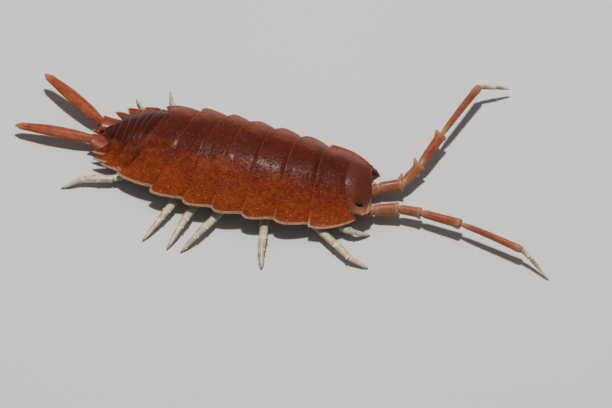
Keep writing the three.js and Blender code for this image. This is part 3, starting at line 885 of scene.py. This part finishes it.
def scatter_tree(name, shape, bristle):
    """Scatters copies of a shape over a surface, where its mark called grain allows."""
    tree = bpy.data.node_groups.new(name, "GeometryNodeTree")
    tree.interface.new_socket("Geometry", in_out="INPUT", socket_type="NodeSocketGeometry")
    kinds = dict.fromkeys(("Density", "Spacing", "Size", "Spread", "Lean"), "Float")
    kinds.update(Seed="Int", Material="Material")
    for label, kind in kinds.items():
        tree.interface.new_socket(label, in_out="INPUT", socket_type="NodeSocket" + kind)
    tree.interface.new_socket("Geometry", in_out="OUTPUT", socket_type="NodeSocketGeometry")

    def add(kind, settings=None, **inputs):
        return add_node(tree, kind, settings, **inputs).outputs

    def mark(name, kind):
        return add("GeometryNodeInputNamedAttribute", {"data_type": kind}, Name=name)[0]

    given = add("NodeGroupInput")
    points = add(
        "GeometryNodeDistributePointsOnFaces", {"distribute_method": "POISSON"},
        Mesh=given["Geometry"], Distance_Min=given["Spacing"], Density_Max=given["Density"],
        Density_Factor=mark("grain", "FLOAT"), Seed=given["Seed"],
    )
    stance = points["Rotation"]
    if bristle:
        lie = mark("lie", "FLOAT_VECTOR")
        bent = add("ShaderNodeVectorMath", {"operation": "SCALE"}, Vector=lie, Scale=given["Lean"])
        way = add("ShaderNodeVectorMath", {"operation": "ADD"}, n0=points["Normal"], n1=bent[0])
        stance = add("FunctionNodeAlignRotationToVector", {"axis": "Z"}, Vector=way[0])[0]
    least = add("ShaderNodeMath", {"operation": "SUBTRACT"}, n0=1.0, n1=given["Spread"])[0]
    chance = add(
        "FunctionNodeRandomValue", {"data_type": "FLOAT"}, Min=least, Max=1.0, Seed=given["Seed"],
    )
    drawn = next(output for output in chance if output.enabled)
    size = add("ShaderNodeMath", {"operation": "MULTIPLY"}, n0=drawn, n1=given["Size"])[0]
    copies = add(
        "GeometryNodeInstanceOnPoints", Points=points["Points"], Instance=shape(tree),
        Rotation=stance, Scale=size,
    )
    solid = add("GeometryNodeRealizeInstances", Geometry=copies[0])
    done = add("GeometryNodeSetMaterial", Geometry=solid[0], Material=given["Material"])
    add("NodeGroupOutput", Geometry=done[0])
    return tree


def dome_shape(tree):
    """A flattened ball, half of it above the skin."""
    ball = add_node(tree, "GeometryNodeMeshIcoSphere", Radius=1.0, Subdivisions=2)
    dome = add_node(tree, "GeometryNodeTransform", Geometry=ball.outputs[0], Scale=(1, 1, 0.4))
    return dome.outputs[0]


def spine_shape(tree):
    """A thin cone that rises from the skin."""
    cone = add_node(
        tree, "GeometryNodeMeshCone", Vertices=6, Side_Segments=2,
        Radius_Top=0.01, Radius_Bottom=0.1, Depth=1.0,
    )
    return cone.outputs[0]


GRAINS = scatter_tree("grains", dome_shape, False)
SPINES = scatter_tree("spines", spine_shape, True)


def scatter(source, name, tree, material, slot=None, **values):
    """Runs the tree over a piece and keeps what it makes as a plain mesh."""
    modifier = source.modifiers.new("scatter", "NODES")
    modifier.node_group = tree
    values["Material"] = material
    for item in tree.interface.items_tree:
        if item.item_type == "SOCKET" and item.in_out == "INPUT" and item.name in values:
            modifier[item.identifier] = values[item.name]
    bpy.context.view_layer.update()
    ready = source.evaluated_get(bpy.context.evaluated_depsgraph_get())
    mesh = bpy.data.meshes.new_from_object(ready)
    source.modifiers.remove(modifier)
    mesh.name = name
    mesh.shade_smooth()
    piece = bpy.data.objects.new(name, mesh)
    bpy.context.scene.collection.objects.link(piece)
    keep(piece, ())
    return len(mesh.polygons)


print("scatter trees:", [tree.name for tree in bpy.data.node_groups])

# %% Eye mounds and lenses
EYE_HALF = (0.29, 0.13, 0.14)
EYE_TILT = 0.5


def ball_grid(rows, columns):
    """A unit ball as a grid: angle from the pole in rows, angle round it in columns."""
    polar = np.linspace(0, np.pi, rows)[:, None]
    around = np.linspace(0, 2 * np.pi, columns, endpoint=False)[None, :]
    return np.stack([
        np.sin(polar) * np.cos(around), np.sin(polar) * np.sin(around), np.cos(polar) + 0 * around,
    ], -1)


def turned(points, axis, angle):
    """Points turned about one of the three axes through zero."""
    return points @ np.array(Matrix.Rotation(angle, 3, axis)).T


for hand, middle in EYE_SPOT.items():
    sign = 1 if hand == "left" else -1
    ball = ball_grid(30, 44)
    mound = turned(ball * EYE_HALF, "X", -sign * EYE_TILT)
    mound = turned(mound, "Z", middle[0] / BEND_RADIUS)
    outward = {"grain": sign * ball[..., 1].ravel() > -0.1}
    piece = make_piece(
        f"eye_{hand}_mound", mound * MM + place(*middle), grid_faces(30, 44, round_way=True),
        outward, EYE, [f"eye_{hand}"],
    )
    lenses = scatter(
        piece, f"eye_{hand}_lenses", GRAINS, EYE, "eye",
        Density=4e8, Spacing=0.05 * MM, Size=0.026 * MM, Spread=0.1, Seed=4,
    )
    print("lens faces:", lenses)

# %% [markdown]
# ## Limb pieces
#
# Feelers and legs are chains of hard tubes joined by soft rings. Each tube is narrow where it
# starts, swells, flares at its end and may carry teeth there. One builder makes them all, and
# closes both ends with a sunken cap, so that a joint looks like one tube standing in the next.

# %% Tube builder
TOOTH_WIDE = 0.24
TOOTH_OUT = 0.9
TOOTH_AHEAD = 0.45


def directions(start, end):
    """Forward along a limb, level across it, and up from it."""
    forward = (end - start) / np.linalg.norm(end - start)
    across = np.cross((0, 0, 1), forward)
    across = across / np.linalg.norm(across)
    return forward, across, np.cross(forward, across)


def tube(
    start, end, base, tip, flat=1.0, bow=0.0, teeth=(),
    sides=26, rings=26, flare=0.12, keel=0.05, neck=0.72,
):
    """A limb piece from start to end (metres) with its half widths in mm."""
    forward, across, upward = directions(start, end)
    t = np.linspace(0, 1, rings)
    t = t + 0.06 * np.sin(2 * np.pi * t)
    width = base + (tip - base) * t
    width = width * (neck + (1 - neck) * smooth(0.0, 0.14, t)) * (1 + flare * hump(t, 0.93, 0.07))
    width = width * (1 - 0.22 * smooth(0.965, 1.0, t))
    cap = np.array([0, 0.5, 0.8])
    t = np.concatenate([[0.05, 0.02, 0.0], t, [0.985, 0.95, 0.93]])
    width = np.concatenate([cap * width[0], width, cap[::-1] * width[-1]])
    turn = np.linspace(0, 2 * np.pi, sides, endpoint=False)
    ridge = 1 + keel * np.cos(4 * turn)[None, :] * smooth(0.1, 0.3, t)[:, None]
    reach = width[:, None] * ridge
    push = np.zeros_like(reach)
    for angle, size in teeth:
        near = hump((turn - angle + np.pi) % (2 * np.pi) - np.pi, 0, TOOTH_WIDE)[None, :]
        lip = (smooth(0.8, 0.97, t) ** 1.6 * (width > 0.6 * tip))[:, None]
        reach = reach + TOOTH_OUT * size * near * lip
        push = push + TOOTH_AHEAD * size * near * lip
    length = np.linalg.norm(end - start)
    centre = start + np.outer(t, end - start) + np.outer(np.sin(np.pi * t) * bow * length, upward)
    radial = np.outer(np.cos(turn), across) + flat * np.outer(np.sin(turn), upward)
    points = centre[:, None, :] + (reach[..., None] * radial[None] + push[..., None] * forward) * MM
    run = np.repeat(t, sides)
    open_skin = np.repeat(smooth(0.1, 0.2, t) * smooth(0.96, 0.9, t), sides)
    marks = {"run": run, "grain": open_skin, "lie": np.broadcast_to(forward, (len(run), 3))}
    return points.reshape(-1, 3), grid_faces(len(t), sides, round_way=True), marks


def limb_piece(name, parts, material, node, slot):
    """One mesh of one or more limb parts, in place of one node."""
    batch = Batch()
    for points, faces, marks in parts:
        batch.add(points, faces, **marks)
    return batch.piece(name, material, [node], slot)


print("limb teeth stand out by", TOOTH_OUT, "and point ahead by", TOOTH_AHEAD, "of their size")

# %% [markdown]
# ## Feelers
#
# Each feeler has five stout pieces and a thin whip of two. The second, third and fourth pieces
# end in small teeth, and the fifth is the longest and slimmest. The far feeler reaches sideways,
# and the near one forward, with its whip down on the floor.

# %% Both feelers
FEELER_JOINTS = {
    "right": [
        (9.5, -0.45, 0.72), (10.0, -0.24, 0.84), (11.62, 0.32, 1.0), (13.08, 0.43, 1.05),
        (15.81, 0.3, 1.15), (20.14, -0.48, 1.1), (20.76, -0.7, 0.85), (22.25, -1.41, 0.07),
    ],
    "left": [
        (9.28, 1.42, 0.62), (9.75, 1.78, 0.82), (11.11, 2.48, 0.95), (11.72, 4.38, 1.1),
        (12.23, 7.34, 1.35), (13.22, 12.39, 1.45), (14.21, 13.1, 1.1), (14.97, 13.65, 0.7),
    ],
}
FEELER_PIECES = [
    ("article_1", 0.42, 0.42, 0.0, FEELER_ROOT), ("article_2", 0.4, 0.44, 0.42, FEELER_ROOT),
    ("article_3", 0.31, 0.35, 0.36, FEELER_ROOT), ("article_4", 0.27, 0.33, 0.22, FEELER),
    ("article_5", 0.18, 0.25, 0.0, FEELER), ("flagellum_1", 0.14, 0.145, 0.0, FEELER_TIP),
    ("flagellum_2", 0.135, 0.06, 0.0, FEELER_TIP),
]
TOOTH_TURNS = {"left": (0.6, np.pi + 0.2), "right": (np.pi + 0.5, 0.2)}
TOOTH_SHARE = {"left": 1.0, "right": 0.35}
INNER_TOOTH = 0.2
FEELER_FLAT = 0.92
FEELER_BOW = {"article_5": 0.015}
MEMBRANE_SHARE = 0.8
membranes = Batch()
bristle_faces = 0
for hand, joints in FEELER_JOINTS.items():
    places = [spot(*joint) for joint in joints]
    for number, (name, base, tip, tooth, material) in enumerate(FEELER_PIECES):
        start, end = places[number], places[number + 1]
        outer, inner = TOOTH_TURNS[hand]
        tooth = TOOTH_SHARE[hand] * tooth
        teeth = ((outer, tooth), (inner, INNER_TOOTH * tooth)) if tooth else ()
        thin = name.startswith("flagellum")
        article = tube(
            start, end, base, tip, FEELER_FLAT, FEELER_BOW.get(name, 0.0), teeth,
            flare=0.03 if thin else 0.05, keel=0.0 if thin else 0.05, sides=32, rings=40,
        )
        piece = limb_piece(
            f"feeler_{hand}_{name}", [article], material, f"antenna_{hand}_{name}", "feeler",
        )
        if number:
            ball = ball_grid(12, 16) * MEMBRANE_SHARE * base * MM
            membranes.add(ball + start, grid_faces(12, 16, round_way=True))
        bristle_faces += scatter(
            piece, f"feeler_{hand}_{name}_bristles", SPINES, BRISTLE, "feeler",
            Density=7e7, Spacing=0.07 * MM, Size=0.11 * MM, Spread=0.6, Lean=1.6, Seed=7 + number,
        )
membranes.piece("feeler_membranes", MEMBRANE)
print("bristle faces on the feelers:", bristle_faces)

# %% [markdown]
# ## Legs
#
# Fourteen legs of six pieces each reach out from the belly. The photo shows the three outer
# pieces on the near side: flat and pale, with a spur at the joint and a small brown claw. Each
# leg is one mesh, and all claws together are another, since they are another material.

# %% All legs and claws
# Each leg: its root on the midline, then the places of its knee, ankle and foot
LEGS = {
    "right": [
        (7.3, (8.6, -2.9), (9.4, -2.95, 0.55), (10.3, -2.4)),
        (5.2, (7.4, -3.7), (9.7, -5.1, 0.5), (11.2, -5.15)),
        (3.1, (3.6, -4.1), (3.9, -5.9, 0.5), (4.2, -7.15)),
        (1.2, (0.5, -4.4), (0.0, -6.1, 0.55), (-0.5, -7.35)),
        (-0.6, (-1.0, -4.4), (-1.1, -5.7, 0.55), (-1.3, -7.45)),
        (-2.5, (-2.2, -4.1), (-2.4, -5.5, 0.55), (-2.8, -7.35)),
        (-4.6, (-6.4, -3.5), (-8.2, -4.1, 0.5), (-10.0, -5.0)),
    ],
    "left": [
        (7.3, (7.6, 3.0), (7.8, 3.5, 0.55), (8.0, 4.0)),
        (5.2, (5.6, 3.3), (5.8, 4.0, 0.55), (6.1, 4.7)),
        (3.1, (3.3, 3.4), (3.4, 4.2, 0.55), (3.5, 5.0)),
        (1.2, (0.9, 3.5), (0.7, 4.3, 0.55), (0.5, 5.1)),
        (-0.6, (-1.1, 3.5), (-1.4, 4.3, 0.55), (-1.7, 5.1)),
        (-2.5, (-4.4, 3.5), (-6.2, 4.3, 0.55), (-7.3, 5.9)),
        (-4.6, (-6.7, 2.9), (-7.9, 3.4, 0.5), (-8.6, 4.4)),
    ],
}
KNEE_UP, FOOT_UP = 0.6, 0.03
LEG_HALF = (0.3, 0.3, 0.27, 0.26, 0.2, 0.13, 0.06)
LEG_FLAT = 0.7
LEG_SPURS = ((0.3, 0.1), (np.pi - 0.3, 0.08))
FAR_HIND_SHARE = 0.62
HIP_SIDE, HIP_UP = 1.9, 0.85
CLAW_TIP = 0.015
claws = Batch()
bristle_faces = 0
for hand, legs in LEGS.items():
    sign = 1 if hand == "left" else -1
    for number, (root, knee, ankle, foot) in enumerate(legs, 1):
        hip = place(root, sign * HIP_SIDE, HIP_UP)
        knee, ankle, foot = place(*knee, KNEE_UP), place(*ankle), place(*foot, FOOT_UP)
        thin = FAR_HIND_SHARE if hand == "left" and number > 5 else 1.0
        shin = knee + 0.5 * (ankle - knee) + (0, 0, 0.06 * MM)
        toe = ankle + 0.72 * (foot - ankle) + (0, 0, 0.03 * MM)
        nail = foot + 0.12 * (ankle - foot)
        joints = [hip, hip + 0.75 * (knee - hip), knee, shin, ankle, toe, nail]
        parts = [
            tube(
                joints[k], joints[k + 1], thin * LEG_HALF[k], thin * LEG_HALF[k + 1], LEG_FLAT,
                teeth=LEG_SPURS if k in (2, 3) else (), sides=20, rings=18, keel=0.03, flare=0.04,
                neck=0.88,
            )
            for k in range(6)
        ]
        piece = limb_piece(f"leg_{hand}_{number}_skin", parts, LEG, f"leg_{hand}_{number}", "leg")
        points, faces, marks = tube(
            nail, foot, thin * LEG_HALF[-1], CLAW_TIP, 0.9, bow=0.1,
            sides=12, rings=10, flare=0, keel=0,
        )
        claws.add(points, faces)
        bristle_faces += scatter(
            piece, f"leg_{hand}_{number}_bristles", SPINES, LEG, "leg",
            Density=3e7, Spacing=0.12 * MM, Size=0.15 * MM, Spread=0.6, Lean=1.5, Seed=20 + number,
        )
claws.piece("claws", CLAW, (), "leg")
print("bristle faces on the legs:", bristle_faces)

# %% [markdown]
# ## Tail feelers
#
# Two long flat blades trail behind the body. Each grows from a stout root piece beside the tail
# shield, widens a little, and ends in a rounded pale tip. A short inner branch lies under the
# shield. The blades could be plain cones, but their flat, keeled section is what makes
# them look hard, so they get an outline of their own.

# %% Root pieces and blades
# Each tail feeler: where its root piece ends, and its tip
UROPODS = {
    "left": ((-9.27, 0.85, 0.8), (-14.6, 1.97, 1.4)),
    "right": ((-9.23, -0.72, 0.78), (-14.45, -2.56, 0.88)),
}
STUMP_START = (-7.9, 1.05, 0.62)
STUMP_FLAT = 0.46
STUMP_TEETH = ((0.0, 0.1), (np.pi, 0.1))
BLADE_HALF, BLADE_TALL = 0.46, 0.25
INNER_HALF, INNER_TALL = 0.17, 0.13
INNER_SIDE = 0.3


def blade(start, end, half, tall, sides=30, rings=60):
    """A flat blade: widest before its middle, with a rounded end."""
    forward, across, upward = directions(start, end)
    t = (1 - np.cos(np.linspace(0, np.pi, rings))) / 2
    outline = (0.72 + 0.28 * smooth(0.0, 0.3, t)) * (1 - 0.4 * smooth(0.5, 1.0, t))
    ends = np.clip(t / 0.025, 0, 1) ** 0.5 * np.clip((1 - t) / 0.09, 0, 1) ** 0.6
    turn = np.linspace(0, 2 * np.pi, sides, endpoint=False)
    wide = half * outline * ends
    high = tall * (1 - 0.35 * t) * ends
    keel = 1 + 0.35 * hump(np.abs(np.sin(turn)), 1, 0.1)
    flat = np.sign(np.sin(turn)) * np.abs(np.sin(turn)) ** 1.1 * keel
    radial = wide[:, None, None] * np.cos(turn)[None, :, None] * across
    radial = radial + high[:, None, None] * flat[None, :, None] * upward
    bow = np.outer(np.sin(np.pi * t) * 0.02 * np.linalg.norm(end - start), upward)
    centre = start + np.outer(t, end - start) + bow
    points = centre[:, None, :] + radial * MM
    run = np.repeat(t, sides)
    lie = np.broadcast_to(forward, (len(run), 3))
    marks = {"run": run, "grain": smooth(0.02, 0.1, run), "lie": lie}
    return points.reshape(-1, 3), grid_faces(rings, sides, round_way=True), marks


for hand, (knee, tip) in UROPODS.items():
    sign = 1 if hand == "left" else -1
    node = f"uropod_{hand}_"
    knee, tip = place(*knee), place(*tip)
    root = place(STUMP_START[0], sign * STUMP_START[1], STUMP_START[2])
    stump = tube(
        root, knee, 0.6, 0.64, STUMP_FLAT, teeth=STUMP_TEETH, rings=30, flare=0.02, keel=0.0,
    )
    limb_piece(f"tail_root_{hand}", [stump], TAIL_ROOT, node + "protopod", "tail_shell")
    outer = blade(knee - 0.02 * (tip - knee), tip, BLADE_HALF, BLADE_TALL)
    piece = limb_piece(f"tail_blade_{hand}", [outer], TAIL_FEELER, node + "exopod", "feeler")
    scatter(
        piece, f"tail_blade_{hand}_bristles", SPINES, BRISTLE, "feeler",
        Density=5e7, Spacing=0.08 * MM, Size=0.12 * MM, Spread=0.6, Lean=1.8, Seed=41,
    )
    inner = blade(
        place(-8.3, sign * INNER_SIDE, 0.42), place(-9.8, sign * INNER_SIDE, 0.4),
        INNER_HALF, INNER_TALL, 20, 24,
    )
    limb_piece(f"tail_inner_{hand}", [inner], TAIL_FEELER, node + "endopod", "tail_shell")
print("pieces so far:", len(pieces))

# %% [markdown]
# ## Underside
#
# Below the plates the animal is soft. One closed skin fills the arch, with a fold between every
# two rings of the belly. Behind it lie five pairs of breathing plates, the first two with white
# lung patches, and under the head a pair of jaw covers closes the mouth.

# %% Belly skin
BELLY_ROWS, BELLY_COLUMNS = 150, 64
BELLY_REAR, BELLY_FRONT = -7.75, 7.95
BODY_SIDE = 0.66
BODY_NARROWS = -3.9
BODY_REAR_HALF = 0.6
BODY_ARCH = 1.26
ROOF_THICK = 0.5
BELLY_UP = 0.95
RIM_THICK = 0.36
BELLY_SAG = 0.06
FOLD_DEEP, FOLD_EVERY = 0.05, 1.9
along = np.linspace(BELLY_REAR, BELLY_FRONT, BELLY_ROWS)[:, None]
around = np.linspace(0, 2 * np.pi, BELLY_COLUMNS, endpoint=False)[None, :]
taper = np.clip((BODY_NARROWS - along) / 4.3, 0, 1)
half = BODY_SIDE * half_width(along) * (1 - taper) + BODY_REAR_HALF * taper
front_end = np.clip((BELLY_FRONT + 0.05 - along) / 0.5, 0.05, 1) ** 0.5
rear_end = np.clip((along - BELLY_REAR + 0.05) / 0.4, 0.1, 1) ** 0.5
closing = front_end * rear_end
side = half * np.cos(around)
flare = ARCH_FLARE + (TAIL_FLARE - ARCH_FLARE) * taper
roof = back_up(along, side, BODY_ARCH * half, flare) - ROOF_THICK
floor_line = np.minimum(BELLY_UP, rim_up(along) - RIM_THICK)
floor_line = floor_line - BELLY_SAG * np.cos(np.pi * side / half / 2)
floor_line = floor_line - FOLD_DEEP * np.abs(np.sin(np.pi * (along - 0.2) / FOLD_EVERY)) ** 0.4
middle = (roof + floor_line) / 2
up = middle + (roof - floor_line) / 2 * np.clip(np.sin(around) * 1.35, -1, 1) * closing
make_piece(
    "belly_skin", place(along, side * closing, up),
    grid_faces(BELLY_ROWS, BELLY_COLUMNS, round_way=True), {}, BELLY, ["underside"],
)
print("belly from", BELLY_REAR, "to", BELLY_FRONT, "mm along the midline")

# %% Breathing plates, lung patches and jaw covers
GILL_PAIRS = 5
LUNG_PAIRS = 2
GILL_START, GILL_STEP = -5.6, 0.56
GILL_REACH, GILL_NARROWS = 1.45, 0.17
GILL_TILT = 0.18
LUNG_HALF = (0.22, 0.26, 0.04)
JAWS = (((8.8, 0.36, 0.62), (0.42, 0.34, 0.2)), ((9.12, 0.2, 0.6), (0.24, 0.16, 0.14)))
LIP_MIDDLE, LIP_HALF = (9.3, 0, 0.86), (0.16, 0.34, 0.16)


def add_lobe(batch, middle, half, sign, rows, columns, tilt=0.0):
    """An oval lobe, given by its middle and half sizes along, to the side and up."""
    along, side, up = np.moveaxis(ball_grid(rows, columns) * half, -1, 0)
    points = place(middle[0] + along, sign * (middle[1] + side), middle[2] - tilt * along + up)
    batch.add(points, grid_faces(rows, columns, round_way=True))


gills = Batch()
lungs = Batch()
jaws = Batch()
for number in range(GILL_PAIRS):
    middle = GILL_START - GILL_STEP * number
    reach = GILL_REACH - GILL_NARROWS * number
    gill_half = (0.5, 0.52 * reach, 0.1)
    for sign in (1, -1):
        up = 0.52 + 0.01 * number
        add_lobe(gills, (middle, 0.5 * reach, up), gill_half, sign, 20, 32, GILL_TILT)
        if number < LUNG_PAIRS:
            add_lobe(lungs, (middle - 0.12, 0.62 * reach, 0.46), LUNG_HALF, sign, 20, 32)
for sign in (1, -1):
    for middle, half in JAWS:
        add_lobe(jaws, middle, half, sign, 24, 36)
add_lobe(jaws, LIP_MIDDLE, LIP_HALF, 1, 20, 30)
gills.piece("breathing_plates", BELLY, ["pleopods"], "soft_body")
lungs.piece("lung_patches", LUNG, (), "soft_body")
jaws.piece("jaw_covers", MEMBRANE, ["mouthparts"], "soft_body")
print("soft pieces added, in all:", len(pieces))

# %% [markdown]
# ## Grains on the shell
#
# A smooth model would look like wax. Real plates carry tiny raised grains that each catch a spark
# of light. They are scattered over the trunk plates and the head, and finer ones over the tail
# plates. They keep off the rims and off what lies under the plate ahead, and they take their
# colour from the plate's own marks, painted lighter than the plate as a painted sparkle.

# %% Scatter the grains
COARSE = {"Density": 1.4e7, "Spacing": 0.27 * MM, "Size": 0.056 * MM, "Spread": 0.7, "Seed": 60}
FINE = {"Density": 6e6, "Spacing": 0.3 * MM, "Size": 0.03 * MM, "Spread": 0.5, "Seed": 61}
total = 0
for number in range(1, len(TRUNK) + 1):
    name = f"pereonite_{number}"
    total += scatter(pieces[name + "_shell"], name + "_grains", GRAINS, GRAIN, "shell", **COARSE)
total += scatter(pieces["head_capsule"], "head_grains", GRAINS, GRAIN, "shell", **COARSE)
for number in range(1, len(TAIL) + 1):
    name = f"pleonite_{number}"
    total += scatter(pieces[name + "_shell"], name + "_grains", GRAINS, GRAIN, "tail_shell", **FINE)
print("grain faces:", total)

# %% [markdown]
# ## The floor and the light
#
# The animal stands on a wide pale floor, under a lamp nearly overhead. The lamp is small, so the
# shadows under the rims stay crisp, and a weak pale sky fills them.

# %% Floor and light
FLOOR_SIZE = 6
LAMP_SIZE = 0.022
LAMP_WATTS = 0.42
SKY_COLOUR = (1.0, 0.985, 0.965, 1)
SKY_STRENGTH = 0.2
bpy.ops.mesh.primitive_plane_add(size=FLOOR_SIZE)
floor = bpy.context.object
floor.name = "floor"
floor_finish = Finish("floor_finish")
spread_tone = floor_finish.cloud(60, 2.0)
floor_colour = floor_finish.mix(spread_tone, (191, 191, 191), (187, 187, 187))
floor.data.materials.append(floor_finish.done(floor_colour, 0.8 + 0.05 * spread_tone))

LAMP_TOWARDS = Vector((-0.03, 0.06, 1.0)).normalized()
LAMP_DISTANCE = 0.22
lamp = bpy.data.objects.new("lamp", bpy.data.lights.new("lamp", "AREA"))
bpy.context.scene.collection.objects.link(lamp)
lamp.data.shape = "DISK"
lamp.data.size = LAMP_SIZE
lamp.data.energy = LAMP_WATTS
lamp.location = LAMP_TOWARDS * LAMP_DISTANCE
lamp.rotation_euler = (-LAMP_TOWARDS).to_track_quat("-Z", "Y").to_euler()

world = bpy.data.worlds.new("world")
bpy.context.scene.world = world
world.use_nodes = True
sky = world.node_tree.nodes["Background"]
sky.inputs["Color"].default_value = SKY_COLOUR
sky.inputs["Strength"].default_value = SKY_STRENGTH
print("lamp", LAMP_WATTS, "W, sky", SKY_STRENGTH)
